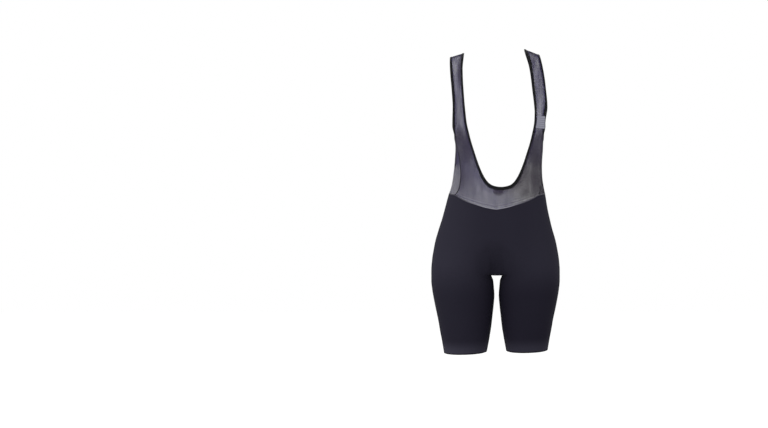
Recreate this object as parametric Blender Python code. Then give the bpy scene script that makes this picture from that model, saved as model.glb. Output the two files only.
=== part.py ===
"""Cycling bib shorts in their worn, hollow form: stretch-knit shorts under a sheer mesh bib.

The garment faces -Y and hangs from the wearer's shoulders, which are at height 0.
One skin holds the whole outer surface, as grids that meet along the seams.
Each sewn piece is cut from that skin and given its cloth's thickness on the inside.
"""

import math

import bmesh
import bpy
from mathutils import Vector

MM = 0.001

# Cloth
KNIT_WALL = 1.3 * MM
MESH_WALL = 1.0 * MM
SEAM_GAP = 0.3 * MM
BINDING_WALL = 0.7 * MM
BINDING_WIDTH = 5.0 * MM
NECK_BINDING_WIDTH = 9.0 * MM
NECK_BINDING_TAPER = 80 * MM
BINDING_SLACK = 0.6 * MM
BAND_WALL = 0.8 * MM

# Heights below the shoulders
CHEST = -133 * MM
ARMHOLE_BOTTOM = -226 * MM
NECK_BOTTOM = -358 * MM
CROTCH = -593 * MM
HEM = -799 * MM

# Above 2, a section is squarer than an ellipse
ROUNDNESS = 2.2

# The figure's level sections: height, centre, half width, front depth, back depth
SECTIONS = (
    (-133, 10.3, 162.0, 105, 97),
    (-180, 11.0, 143.0, 102, 94),
    (-205, 10.5, 131.0, 99, 91),
    (-226, 9.6, 120.0, 96, 88),
    (-250, 9.8, 118.2, 93, 84),
    (-283, 7.9, 117.9, 90, 80),
    (-328, 5.8, 120.6, 87, 79),
    (-358, 5.1, 125.6, 87, 82),
    (-378, 3.8, 130.9, 88, 86),
    (-416, 1.9, 139.1, 93, 94),
    (-446, 1.0, 146.6, 97, 104),
    (-473, 0.0, 154.3, 100, 114),
    (-500, 0.0, 162.2, 102, 121),
    (-527, 0.0, 167.6, 102, 126),
    (-554, 0.0, 171.7, 98, 123),
    (-582, 0.0, 173.6, 91, 114),
    (-608, 0.0, 173.6, 87, 105),
    (-635, 0.0, 170.9, 84, 97),
    (-662, 0.0, 166.2, 82, 90),
    (-689, 0.0, 160.7, 81, 84),
    (-716, 0.0, 155.0, 79, 79),
    (-743, 0.0, 150.4, 77, 74),
    (-770, 0.0, 145.2, 75, 70),
    (-799, 0.0, 140.3, 73, 67),
)

# Half of the gap between the legs: height, half gap
LEG_GAP = (
    (-593, 15.0),
    (-598, 13.8),
    (-603, 11.8),
    (-608, 9.8),
    (-622, 8.2),
    (-649, 6.3),
    (-676, 8.4),
    (-703, 11.4),
    (-730, 14.3),
    (-757, 18.5),
    (-784, 23.4),
    (-799, 26.3),
)

# The stance: the gap between the legs lies to the right of the middle, and the hems tilt
GAP_ASIDE = 2.9 * MM
GAP_ASIDE_FROM = -500 * MM
HEM_TILT = 5 * MM
HEM_TILT_FROM = -650 * MM
WIDEST = 173.6 * MM

# The seam between bib and shorts: degrees round from the front, height
WAIST = (
    (0, -418),
    (10, -413),
    (20, -406),
    (32, -398.5),
    (44, -389.5),
    (57.5, -380),
    (90, -375),
    (122, -381),
    (154, -404),
    (180, -417),
)

# The bib's front edges: height, neckline's centre and half width, straps' outer centre and half width
BIB_EDGES = (
    (0, -3.7, 81.3, -2.5, 120.5),
    (-40, 1.4, 88.9, 3.2, 122.3),
    (-87, 5.5, 91.2, 8.8, 123.2),
    (-133, 10.0, 92.0, 11.8, 123.5),
    (-180, 12.7, 90.3, 8.8, 120.5),
    (-226, 13.7, 81.7, 9.6, 120.0),
    (-271, 14.0, 68.2, 8.5, 117.0),
    (-311, 14.0, 53.8, 7.0, 117.5),
    (-338, 14.2, 39.8, 5.5, 120.0),
    (-352, 14.4, 26.2, 4.8, 122.5),
    (-358, 14.4, 0.0, 4.6, 123.6),
)

# Where each strap crosses its shoulder: height of its neck edge and of its outer edge
LEFT_CREST = (5.0, -6.5)
RIGHT_CREST = (15.6, 0.0)

# The bib's side seams: height, degrees round from the front on the left and on the right
SIDE_SEAMS = (
    (-226, 90.0, 90.0),
    (-236, 86.5, 89.5),
    (-254, 71.0, 88.0),
    (-290, 59.0, 85.0),
    (-328, 53.0, 79.0),
    (-361, 52.0, 65.0),
    (-371, 53.5, 60.5),
    (-380, 57.5, 57.5),
)
SIDE_SEAM_AT_WAIST = 57.5

# The back's edges stand wider and higher than the front's
BACK_SPREAD = 0.06
BACK_SPREAD_HEIGHT = 40 * MM
BACK_NECK_RISE = 4 * MM

# How far up the neckline the bib's rungs start: rung, height
NECK_CLIMB = ((1, -309), (2, -262), (3, -133))

# The band across the right strap: heights of its lower and its upper edge
BAND_EDGES = (-202 * MM, -170 * MM)
HALVINGS = 20
BAND_MARGIN = 0.16

# Grid lines: degrees round from the front, down to the shorts' side seam at 95
GUSSET_COLUMN = 5.0
FRONT_COLUMNS = (0.0, 2.5, GUSSET_COLUMN, 13.0, 22.0, 32.0, 44.0, 57.5, 70.0, 82.0, 95.0)
BACK_COLUMNS = (180.0, 177.5, 180 - GUSSET_COLUMN, 166.0, 157.0, 146.0, 134.0, 121.0, 108.0, 95.0)
BACK_BIB_COLUMNS = BACK_COLUMNS + (82.0, 70.0, 57.5)
HIP_ROWS = (0.0, 0.1, 0.2, 0.3, 0.4, 0.5, 0.6, 0.7, 0.79, 0.87, 0.94, 1.0)
LEG_ROWS = (-593, -597, -602, -608, -617, -632, -651, -674, -698, -722, -745, -766, -784, -799)
SIDE_RUNGS = (1.17, 1.33, 1.5, 1.67, 1.82, 1.93)
ARMHOLE_RUNGS = (2.0, 2.02, 2.06, 2.13, 2.22, 2.34, 2.48, 2.64, 2.82)
SHOULDER_RUNGS = (3.0, 3.17, 3.33, 3.5, 3.67, 3.83, 4.0)
BIB_COLUMNS = (0.0, 0.1, 0.23, 0.37, 0.5, 0.63, 0.77, 0.9, 1.0)
COLUMN_ROOM = 1.15
FIGURE_RADIUS = 110 * MM
INSEAM_STEPS = 3

# From here down, the hips' shape turns into that of the two legs
FORK_START = -490 * MM

# The cloth stretches smoothly over the fork, above the gusset
FORK_HALF_WIDTH = 50 * MM
FORK_TOP = -530 * MM
FORK_ROUNDS = 4

# Points this close are one, heights this close are level, and ways this alike are one
WELD = 0.01 * MM
LEVEL = 1 * MM
ALIKE = 0.97

PIECES = (
    "shorts_front",
    "shorts_back_left",
    "shorts_back_right",
    "gusset",
    "bib_front",
    "bib_back",
)
CREASE_ANGLE = 40

COLOURS = {
    "knit": (0.020, 0.019, 0.027, 1.0),
    "mesh": (0.100, 0.095, 0.120, 1.0),
    "binding": (0.004, 0.004, 0.006, 1.0),
    "band": (0.230, 0.230, 0.280, 1.0),
}
ROUGHNESS = {"knit": 0.75, "mesh": 0.85, "binding": 0.70, "band": 0.80}


def between(low, high, share):
    return low + (high - low) * share


def smooth_step(share):
    share = min(max(share, 0.0), 1.0)
    return share * share * (3 - 2 * share)


def smooth(table, column, at):
    """The value of one column of a table at a place in its first column, on a smooth curve."""
    rows = sorted(table)
    places = [row[0] for row in rows]
    values = [row[column] for row in rows]
    slopes = [(values[i + 1] - values[i]) / (places[i + 1] - places[i]) for i in range(len(rows) - 1)]
    at = min(max(at, places[0]), places[-1])
    i = max(k for k in range(len(rows) - 1) if places[k] <= at)
    step = places[i + 1] - places[i]
    share = (at - places[i]) / step
    low = flatter(slopes[max(i - 1, 0)], slopes[i])
    high = flatter(slopes[i], slopes[min(i + 1, len(slopes) - 1)])
    return (
        values[i] * (1 + 2 * share) * (1 - share) ** 2
        + low * step * share * (1 - share) ** 2
        + values[i + 1] * share**2 * (3 - 2 * share)
        + high * step * share**2 * (share - 1)
    )


def flatter(slope, other):
    """The slope of a curve where stretches of these two slopes meet, with no overshoot."""
    if slope * other <= 0:
        return 0.0
    return 2 * slope * other / (slope + other)


def bent(share):
    """A sine or cosine, pushed towards the corners of a section that is squarer than an ellipse."""
    return math.copysign(abs(share) ** (2 / ROUNDNESS), share)


def unbent(share):
    return math.copysign(min(abs(share), 1.0) ** (ROUNDNESS / 2), share)


def section(height):
    """The centre, half width, front depth and back depth of the figure at this height."""
    return [smooth(SECTIONS, column, height / MM) * MM for column in (1, 2, 3, 4)]


def figure(angle, height):
    """The point of the figure's skin at this angle from the front, to the right where positive."""
    centre, half, front, back = section(height)
    ahead = math.cos(angle)
    depth = front if ahead > 0 else back
    return Vector((centre + half * bent(math.sin(angle)), -depth * bent(ahead), height))


def angle_at(x, height):
    """The angle, on the front half, of the figure's point with this x."""
    centre, half, _, _ = section(height)
    return math.asin(unbent((x - centre) / half))


def waist_height(angle):
    return smooth(WAIST, 1, abs(math.degrees(angle))) * MM


# ---- Legs


def leg_section(height):
    """The centre, half width, front depth and back depth of the right leg at this height."""
    _, outer, front, back = section(height)
    inner = smooth(LEG_GAP, 1, height / MM) * MM
    return (outer + inner) / 2, (outer - inner) / 2, front, back


def leg(side, angle, height):
    """The point of a leg's skin: the angle is 0 at its front, 90 degrees outside, 270 at the inseam."""
    centre, half, front, back = leg_section(height)
    ahead = math.cos(angle)
    depth = front if ahead > 0 else back
    return Vector((side * (centre + half * bent(math.sin(angle))), -depth * bent(ahead), height))


def stand(point):
    """Takes a point of the shorts to its place in the stance."""
    share = point.x / WIDEST
    aside = GAP_ASIDE * smooth_step((GAP_ASIDE_FROM - point.z) / (GAP_ASIDE_FROM - CROTCH))
    tilt = HEM_TILT * smooth_step((HEM_TILT_FROM - point.z) / (HEM_TILT_FROM - HEM))
    return point + Vector((aside * (1 - share * share), 0, tilt * share))


def leg_angle(angle):
    """The angle on the leg where the column that comes down the hips at this angle goes on."""
    centre, half, _, _ = leg_section(CROTCH)
    aside = max(math.sin(angle), math.sin(math.radians(GUSSET_COLUMN)))
    x = section(CROTCH)[1] * bent(aside)
    turned = math.asin(unbent((x - centre) / half))
    return turned if angle <= math.pi / 2 else math.pi - turned


def hips(side, angle, share):
    """The point of the shorts' skin above the crotch, at this share of the way down to it."""
    height = between(waist_height(angle), CROTCH, share)
    point = figure(side * angle, height)
    _, _, front, back = section(height)
    ahead = math.cos(leg_angle(angle))
    forked = -(front if ahead > 0 else back) * bent(ahead)
    point.y = between(point.y, forked, smooth_step((FORK_START - height) / (FORK_START - CROTCH)))
    return point


# ---- Bib


def neck_binding_width(height):
    """Wide where the neckline is low, and narrow up the straps."""
    narrowed = smooth_step((height - NECK_BOTTOM) / NECK_BINDING_TAPER)
    return between(NECK_BINDING_WIDTH, BINDING_WIDTH, narrowed)


def share_across(column, neck_width, length):
    """The share of a rung's length at a column; the second and last but one are where bindings end."""
    first, last = BIB_COLUMNS[1], BIB_COLUMNS[-2]
    neck, outer = COLUMN_ROOM * neck_width / length, 1 - COLUMN_ROOM * BINDING_WIDTH / length
    if column < first:
        return neck * column / first
    if column > last:
        return between(outer, 1, (column - last) / (1 - last))
    return between(neck, outer, (column - first) / (last - first))


def crest(side):
    return [height * MM for height in (LEFT_CREST if side < 0 else RIGHT_CREST)]


def rise(rung):
    """How far a rung past the chest has climbed towards the shoulder, from 0 to 1."""
    return math.sin((min(max(rung, 3.0), 4.0) - 3) * math.pi / 2)


def spread(back, rung):
    """How much wider the back's edges are than the front's, less and less towards the shoulder."""
    return 1 + BACK_SPREAD * math.sqrt(max(1 - rise(rung) ** 2, 0)) if back else 1.0


def neck_end(side, back, rung):
    """The angle and height of a rung's end at the neckline."""
    if rung < 1:
        level = between(NECK_BOTTOM, NECK_CLIMB[0][1] * MM, rung**2)
    elif rung < 3:
        level = smooth(NECK_CLIMB, 1, rung) * MM
    else:
        level = between(CHEST, 0, rise(rung))
    squares = [(row[0], row[2] ** 2) for row in BIB_EDGES]
    half = math.sqrt(max(smooth(squares, 1, level / MM), 0)) * MM
    x = (smooth(BIB_EDGES, 1, level / MM) * MM + side * half) * spread(back, rung)
    height = min(level, CHEST)
    angle = side * angle_at(x, height)
    if back and rung < 3:
        height += BACK_NECK_RISE * (3 - rung) / 3
    return math.pi - angle if back else angle, height


def outer_end(side, back, rung):
    """The angle and height of a rung's end at the waist, the side seam or the armhole."""
    seam = math.radians(SIDE_SEAM_AT_WAIST)
    if rung <= 1:
        angle = between(math.pi if back else 0, seam, rung)
        return angle, waist_height(angle)
    if rung <= 2:
        height = between(waist_height(seam), ARMHOLE_BOTTOM, rung - 1)
        column = 1 if side < 0 else 2
        return math.radians(smooth(SIDE_SEAMS, column, height / MM)), height
    level = between(ARMHOLE_BOTTOM, CHEST, rung - 2) if rung < 3 else between(CHEST, 0, rise(rung))
    height = min(level, CHEST)
    widening = smooth_step((height - ARMHOLE_BOTTOM) / BACK_SPREAD_HEIGHT) * (spread(back, rung) - 1)
    x = smooth(BIB_EDGES, 3, level / MM) + side * smooth(BIB_EDGES, 4, level / MM)
    angle = side * angle_at(x * MM * (1 + widening), height)
    return math.pi - angle if back else angle, height


def bib(side, back, rung, column):
    """The point of the bib's skin on a rung, from the neckline at column 0 to the outer end at 1."""
    neck_angle, neck_height = neck_end(side, back, rung)
    outer_angle, outer_height = outer_end(side, back, rung)
    length = math.hypot(FIGURE_RADIUS * (outer_angle - neck_angle), outer_height - neck_height)
    across = share_across(column, neck_binding_width(neck_height), length)
    angle = between(neck_angle, outer_angle, across)
    point = figure(side * angle, between(neck_height, outer_height, across))
    if rung > 3:
        top = between(*crest(side), across)
        point.y *= math.sqrt(max(1 - rise(rung) ** 2, 0))
        point.z = between(CHEST, top, rise(rung))
    return point


def rung_at(column, height):
    """The rung that crosses this column of the right strap's front at this height."""
    low, high = 2.0, 3.0
    for _ in range(HALVINGS):
        middle = (low + high) / 2
        if bib(1, False, middle, column).z < height:
            low = middle
        else:
            high = middle
    return low


# ---- The skin


def add_patch(skin, piece, columns, rows, place):
    """Adds a grid of faces that belong to a piece, with a corner at place(column, row) for each."""
    label = skin.faces.layers.int["piece"]
    old = set(skin.faces)
    grid = bmesh.ops.create_grid(skin, x_segments=len(columns) - 1, y_segments=len(rows) - 1, size=0.5)
    for vertex in grid["verts"]:
        column = columns[round((vertex.co.x + 0.5) * (len(columns) - 1))]
        row = rows[round((vertex.co.y + 0.5) * (len(rows) - 1))]
        vertex.co = place(column, row)
    for face in set(skin.faces) - old:
        face[label] = PIECES.index(piece)


def steps(low, high, count):
    return [between(low, high, i / count) for i in range(count + 1)]


def add_shorts(skin):
    legs = [height * MM for height in LEG_ROWS]
    quarter = math.pi / 2
    for side, name in ((-1, "left"), (1, "right")):
        for columns, piece in ((FRONT_COLUMNS, "shorts_front"), (BACK_COLUMNS, "shorts_back_" + name)):
            angles = [math.radians(column) for column in columns]
            add_patch(skin, piece, angles, HIP_ROWS, lambda turn, share, side=side: stand(hips(side, turn, share)))
            outside = [leg_angle(angle) for angle in angles[2:]]
            inseam = -quarter if outside[0] < quarter else 3 * quarter
            inside = steps(inseam, outside[0], INSEAM_STEPS)
            for turns in (outside, inside):
                add_patch(skin, piece, turns, legs, lambda turn, level, side=side: stand(leg(side, turn, level)))


def add_gusset(skin):
    corner = leg_angle(0.0)
    turns = steps(corner, -math.pi / 2, INSEAM_STEPS)
    turns += steps(-math.pi / 2, -math.pi - corner, INSEAM_STEPS)[1:]
    edge = [hips(1, math.radians(column), 1.0).x for column in FRONT_COLUMNS[:3]]
    shares = [x / edge[2] for x in (-edge[2], -edge[1], 0.0, edge[1], edge[2])]

    def place(share, turn):
        point = leg(1, turn, CROTCH)
        point.x *= share
        return stand(point)

    add_patch(skin, "gusset", shares, turns, place)


def add_bib(skin):
    for side in (-1, 1):
        for back, columns in ((False, FRONT_COLUMNS[:8]), (True, BACK_BIB_COLUMNS)):
            rungs = [abs(column - columns[0]) / abs(columns[-1] - columns[0]) for column in columns]
            rungs += SIDE_RUNGS + ARMHOLE_RUNGS + SHOULDER_RUNGS
            add_patch(
                skin,
                "bib_back" if back else "bib_front",
                BIB_COLUMNS,
                rungs,
                lambda column, rung, side=side, back=back: bib(side, back, rung, column),
            )


def stretch_fork(skin):
    """Eases the depth of the skin above the gusset, and leaves its outline from the front alone."""
    fork = [
        vertex
        for vertex in skin.verts
        if abs(vertex.co.x) < FORK_HALF_WIDTH and CROTCH + LEVEL < vertex.co.z < FORK_TOP
    ]
    for _ in range(FORK_ROUNDS):
        bmesh.ops.smooth_vert(skin, verts=fork, factor=0.5, use_axis_y=True)


def make_skin():
    """The garment's outer surface, whole, with each face marked with its piece."""
    skin = bmesh.new()
    skin.faces.layers.int.new("piece")
    add_shorts(skin)
    add_gusset(skin)
    add_bib(skin)
    bmesh.ops.remove_doubles(skin, verts=skin.verts, dist=WELD)
    stretch_fork(skin)
    bmesh.ops.recalc_face_normals(skin, faces=skin.faces)
    front = min(skin.faces, key=lambda face: face.calc_center_median().y)
    if front.normal.y > 0:
        bmesh.ops.reverse_faces(skin, faces=skin.faces)
    skin.normal_update()
    return skin


# ---- Pieces


def inward(edge, face):
    """The direction in a face that leads away from one of its edges."""
    start, end = [vertex.co for vertex in edge.verts]
    across = (end - start).normalized().cross(face.normal)
    return across if across.dot(face.calc_center_median() - start) > 0 else -across


def slide(ways):
    """The move that takes a corner along each of two directions, given as (direction, distance)."""
    (one, first), (two, second) = ways
    lean = one.dot(two)
    if lean > ALIKE:
        return (one + two).normalized() * (first + second) / 2
    return (one * (first - lean * second) + two * (second - lean * first)) / (1 - lean * lean)


def margin(edge):
    """How far a piece's cloth stays back from an edge of the skin."""
    if len(edge.link_faces) == 2:
        return SEAM_GAP / 2
    on_hem = max(vertex.co.z for vertex in edge.verts) < CROTCH
    return 0.0 if on_hem else BINDING_WALL + SEAM_GAP


def cut(skin, name, wall):
    """A closed wall of cloth from the skin's faces of one piece, with the skin as its outside."""
    label = skin.faces.layers.int["piece"]
    index = PIECES.index(name)
    ways = {}
    normals = {}
    for face in skin.faces:
        if face[label] != index:
            continue
        for edge in face.edges:
            if sum(other[label] == index for other in edge.link_faces) == 1:
                for vertex in edge.verts:
                    ways.setdefault(vertex, []).append((inward(edge, face), margin(edge)))
        for vertex in face.verts:
            normals[vertex] = vertex.normal
    cloth = skin.copy()
    label = cloth.faces.layers.int["piece"]
    corners = dict(zip(skin.verts, cloth.verts))
    bmesh.ops.delete(cloth, geom=[face for face in cloth.faces if face[label] != index], context="FACES")
    for vertex, way in ways.items():
        corners[vertex].co += slide(way)
    thicken(cloth, {corners[vertex]: normal for vertex, normal in normals.items()}, wall)
    return cloth


def thicken(cloth, normals, wall):
    """Gives an open sheet a wall on its inner side, square to the normals of its vertices."""
    outside = list(cloth.faces)
    places = {vertex: (vertex.co.copy(), normal.copy()) for vertex, normal in normals.items()}
    bmesh.ops.extrude_face_region(cloth, geom=outside, use_keep_orig=True)
    # The vertices made by extruding stay in place as the outside; the first ones become the inside
    for vertex, (place, normal) in places.items():
        vertex.co = place - normal * wall
    bmesh.ops.recalc_face_normals(cloth, faces=cloth.faces)


def edge_path(skin, start):
    """The vertices of the skin's open edge through a vertex, in order, all the way round."""
    path = [start]
    while True:
        edges = [edge for edge in path[-1].link_edges if len(edge.link_faces) == 1]
        ahead = [edge.other_vert(path[-1]) for edge in edges]
        fresh = [vertex for vertex in ahead if vertex not in path]
        if not fresh:
            return path
        path.append(fresh[0])


def binding(skin, start, width_at):
    """A strip folded over the cloth's edge that runs through the skin's vertex nearest to a point."""
    nearest = min(skin.verts, key=lambda vertex: (vertex.co - start).length)
    path = edge_path(skin, nearest)
    outside = BINDING_SLACK
    inside = -MESH_WALL - BINDING_SLACK
    stations = []
    for vertex in path:
        open_edges = [edge for edge in vertex.link_edges if len(edge.link_faces) == 1]
        across = slide([(inward(edge, edge.link_faces[0]), 1.0) for edge in open_edges]).normalized()
        inner_edges = [edge for edge in vertex.link_edges if len(edge.link_faces) == 2]
        rungs = [(edge.other_vert(vertex).co - vertex.co).normalized() for edge in inner_edges]
        rung = max(rungs, key=across.dot)
        into = rung / rung.dot(across)
        width = width_at(vertex.co.z)
        profile = (
            (0.0, outside + BINDING_WALL),
            (width, outside + BINDING_WALL),
            (width, outside),
            (BINDING_WALL, outside),
            (BINDING_WALL, inside),
            (width, inside),
            (width, inside - BINDING_WALL),
            (0.0, inside - BINDING_WALL),
        )
        stations.append([vertex.co + into * depth + vertex.normal * out for depth, out in profile])
    strip = bmesh.new()
    grid = bmesh.ops.create_grid(strip, x_segments=len(profile), y_segments=len(stations), size=0.5)
    for vertex in grid["verts"]:
        corner = round((vertex.co.x + 0.5) * len(profile)) % len(profile)
        station = round((vertex.co.y + 0.5) * len(stations)) % len(stations)
        vertex.co = stations[station][corner]
    bmesh.ops.remove_doubles(strip, verts=strip.verts, dist=WELD)
    bmesh.ops.recalc_face_normals(strip, faces=strip.faces)
    return strip


def strap_band():
    """A short band that lies on the right strap's front, between its bindings."""
    band = bmesh.new()
    grid = bmesh.ops.create_grid(band, x_segments=4, y_segments=4, size=0.5)
    for vertex in grid["verts"]:
        column = between(BAND_MARGIN, 1 - BAND_MARGIN, vertex.co.x + 0.5)
        height = between(*BAND_EDGES, vertex.co.y + 0.5)
        vertex.co = bib(1, False, rung_at(column, height), column)
    bmesh.ops.recalc_face_normals(band, faces=band.faces)
    if band.faces[:][0].normal.y > 0:
        bmesh.ops.reverse_faces(band, faces=band.faces)
    band.normal_update()
    normals = {vertex: vertex.normal.copy() for vertex in band.verts}
    for vertex, normal in normals.items():
        vertex.co += normal * (SEAM_GAP + BAND_WALL)
    thicken(band, normals, BAND_WALL)
    return band


def material(name):
    made = bpy.data.materials.new(name)
    made.use_nodes = True
    shader = made.node_tree.nodes["Principled BSDF"]
    shader.inputs["Base Color"].default_value = COLOURS[name]
    shader.inputs["Roughness"].default_value = ROUGHNESS[name]
    shader.inputs["Metallic"].default_value = 0.0
    made.diffuse_color = COLOURS[name]
    return made


def add_object(name, shape, finish):
    mesh = bpy.data.meshes.new(name)
    shape.to_mesh(mesh)
    shape.free()
    mesh.shade_smooth()
    mesh.set_sharp_from_angle(angle=math.radians(CREASE_ANGLE))
    mesh.materials.append(finish)
    made = bpy.data.objects.new(name, mesh)
    bpy.context.scene.collection.objects.link(made)


def main():
    for old in list(bpy.data.objects):
        bpy.data.objects.remove(old)
    finishes = {name: material(name) for name in COLOURS}
    skin = make_skin()
    for name in PIECES:
        on_bib = name.startswith("bib")
        finish = finishes["mesh" if on_bib else "knit"]
        add_object(name, cut(skin, name, MESH_WALL if on_bib else KNIT_WALL), finish)
    neck = binding(skin, bib(1, False, 0.0, 0.0), neck_binding_width)
    add_object("neck_binding", neck, finishes["binding"])
    for side, name in ((-1, "left"), (1, "right")):
        armhole = binding(skin, bib(side, False, 2.5, 1.0), lambda height: BINDING_WIDTH)
        add_object("armhole_binding_" + name, armhole, finishes["binding"])
    add_object("strap_band", strap_band(), finishes["band"])
    skin.free()


main()
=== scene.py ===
"""Cycling bib shorts in their worn, hollow form: knit shorts, sheer mesh bib, bindings and stitching."""

import math

import bmesh
import bpy
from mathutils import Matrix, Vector


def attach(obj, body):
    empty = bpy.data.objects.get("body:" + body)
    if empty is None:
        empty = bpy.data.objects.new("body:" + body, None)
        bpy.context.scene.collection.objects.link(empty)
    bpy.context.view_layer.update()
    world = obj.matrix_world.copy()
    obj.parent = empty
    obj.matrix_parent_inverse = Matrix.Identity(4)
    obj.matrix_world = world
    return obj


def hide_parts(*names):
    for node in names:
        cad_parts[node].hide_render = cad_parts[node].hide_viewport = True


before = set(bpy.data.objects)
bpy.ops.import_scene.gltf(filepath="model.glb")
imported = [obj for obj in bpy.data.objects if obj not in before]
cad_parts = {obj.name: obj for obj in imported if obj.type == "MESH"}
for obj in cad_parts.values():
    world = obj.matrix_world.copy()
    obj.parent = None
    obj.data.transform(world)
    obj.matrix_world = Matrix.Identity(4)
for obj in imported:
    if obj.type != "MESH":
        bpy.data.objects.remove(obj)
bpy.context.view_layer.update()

MM = 0.001

# ---- Sizes

KNIT_WALL = 1.3 * MM
MESH_WALL = 1.0 * MM
SEAM_GAP = 0.3 * MM
BINDING_WALL = 0.7 * MM
BINDING_WIDTH = 5.0 * MM
NECK_BINDING_WIDTH = 9.0 * MM
NECK_BINDING_TAPER = 80 * MM
BINDING_SLACK = 0.25 * MM
BINDING_CORNER = 0.3 * MM
BINDING_SWELL = 1.08
BINDING_FOLD_STEPS = 6
BAND_WALL = 0.8 * MM

CHEST = -133 * MM
ARMHOLE_BOTTOM = -226 * MM
NECK_BOTTOM = -358 * MM
CROTCH = -593 * MM
HEM = -799 * MM
ROUNDNESS = 2.2

# The figure's level sections: height, centre, half width, front depth, back depth
SECTIONS = (
    (-133, 10.3, 162.0, 105, 97),
    (-180, 11.0, 143.0, 102, 94),
    (-205, 10.5, 131.0, 99, 91),
    (-226, 9.6, 120.0, 96, 88),
    (-250, 9.8, 118.2, 93, 84),
    (-283, 7.9, 117.9, 90, 80),
    (-328, 5.8, 120.6, 87, 79),
    (-358, 5.1, 125.6, 87, 82),
    (-378, 3.8, 130.9, 88, 86),
    (-416, 1.9, 139.1, 93, 94),
    (-446, 1.0, 146.6, 97, 104),
    (-473, 0.0, 154.3, 100, 114),
    (-500, 0.0, 162.2, 102, 121),
    (-527, 0.0, 167.6, 102, 126),
    (-554, 0.0, 171.7, 98, 123),
    (-582, 0.0, 173.6, 91, 114),
    (-608, 0.0, 173.6, 87, 105),
    (-635, 0.0, 170.9, 84, 97),
    (-662, 0.0, 166.2, 82, 90),
    (-689, 0.0, 160.7, 81, 84),
    (-716, 0.0, 155.0, 79, 79),
    (-743, 0.0, 150.4, 77, 74),
    (-770, 0.0, 145.2, 75, 70),
    (-799, 0.0, 140.3, 73, 67),
)

# Half of the gap between the legs: height, half gap
LEG_GAP = (
    (-593, 15.0),
    (-598, 13.8),
    (-603, 11.8),
    (-608, 9.8),
    (-622, 8.2),
    (-649, 6.3),
    (-676, 8.4),
    (-703, 11.4),
    (-730, 14.3),
    (-757, 18.5),
    (-784, 23.4),
    (-799, 26.3),
)

# The stance: the gap between the legs lies to the right of the middle, and the hems tilt
GAP_ASIDE = 2.9 * MM
GAP_ASIDE_FROM = -500 * MM
HEM_TILT = 5 * MM
HEM_TILT_FROM = -650 * MM
WIDEST = 173.6 * MM

# The seam between bib and shorts: degrees round from the front, height
WAIST = (
    (0, -418),
    (10, -413),
    (20, -406),
    (32, -398.5),
    (44, -389.5),
    (57.5, -380),
    (90, -375),
    (122, -381),
    (154, -404),
    (180, -417),
)

# The bib's front edges: height, neckline's centre and half width, straps' outer centre and half width
BIB_EDGES = (
    (0, -3.7, 81.3, -2.5, 120.5),
    (-40, 1.4, 88.9, 3.2, 122.3),
    (-87, 5.5, 91.2, 8.8, 123.2),
    (-133, 10.0, 92.0, 11.8, 123.5),
    (-180, 12.7, 90.3, 8.8, 120.5),
    (-226, 13.7, 81.7, 9.6, 120.0),
    (-271, 14.0, 68.2, 8.5, 117.0),
    (-311, 14.0, 53.8, 7.0, 117.5),
    (-338, 14.2, 39.8, 5.5, 120.0),
    (-352, 14.4, 26.2, 4.8, 122.5),
    (-358, 14.4, 0.0, 4.6, 123.6),
)

# Where each strap crosses its shoulder: height of its neck edge and of its outer edge
LEFT_CREST = (5.0, -6.5)
RIGHT_CREST = (15.6, 0.0)

# The bib's side seams: height, degrees round from the front on the left and on the right
SIDE_SEAMS = (
    (-226, 90.0, 90.0),
    (-236, 86.5, 89.5),
    (-254, 71.0, 88.0),
    (-290, 59.0, 85.0),
    (-328, 53.0, 79.0),
    (-361, 52.0, 65.0),
    (-371, 53.5, 60.5),
    (-380, 57.5, 57.5),
)
SIDE_SEAM_AT_WAIST = 57.5

# The back's edges stand wider and higher than the front's
BACK_SPREAD = 0.06
BACK_SPREAD_HEIGHT = 40 * MM
BACK_NECK_RISE = 4 * MM

# How far up the neckline the bib's rungs start: rung, height
NECK_CLIMB = ((1, -309), (2, -262), (3, -133))

# The band across the right strap: heights of its lower and its upper edge
BAND_EDGES = (-202 * MM, -170 * MM)
HALVINGS = 20
BAND_START = 0.15
BAND_STEPS = 16
BAND_FOLD = 150
BAND_CLIMB = 0.04

# Grid lines: degrees round from the front, down to the shorts' side seam at 95
GUSSET_COLUMN = 5.0
FRONT_COLUMNS = (0.0, 2.5, GUSSET_COLUMN, 13.0, 22.0, 32.0, 44.0, 57.5, 70.0, 82.0, 95.0)
BACK_COLUMNS = (180.0, 177.5, 180 - GUSSET_COLUMN, 166.0, 157.0, 146.0, 134.0, 121.0, 108.0, 95.0)
BACK_BIB_COLUMNS = BACK_COLUMNS + (82.0, 70.0, 57.5)
HIP_ROWS = (0.0, 0.1, 0.2, 0.3, 0.4, 0.5, 0.6, 0.7, 0.79, 0.87, 0.94, 1.0)
LEG_ROWS = (-593, -597, -602, -608, -617, -632, -651, -674, -698, -722, -745, -766, -784, -799)
SIDE_RUNGS = (1.17, 1.33, 1.5, 1.67, 1.82, 1.93)
ARMHOLE_RUNGS = (2.0, 2.02, 2.06, 2.13, 2.22, 2.34, 2.48, 2.64, 2.82)
SHOULDER_RUNGS = (3.0, 3.17, 3.33, 3.5, 3.67, 3.83, 4.0)
BIB_COLUMNS = (0.0, 0.1, 0.23, 0.37, 0.5, 0.63, 0.77, 0.9, 1.0)
BINDING_COLUMN = 0.9
COLUMN_ROOM = 1.15
FIGURE_RADIUS = 110 * MM
INSEAM_STEPS = 3
FINENESS = 3

# From here down, the hips' shape turns into that of the two legs
FORK_START = -490 * MM
FORK_HALF_WIDTH = 50 * MM
FORK_TOP = -530 * MM
FORK_ROUNDS = 4 * FINENESS**2

# Points this close are one, heights this close are level, and ways this alike are one
WELD = 0.01 * MM
LEVEL = 1 * MM
ALIKE = 0.97
CREASE_ANGLE = 40

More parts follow.
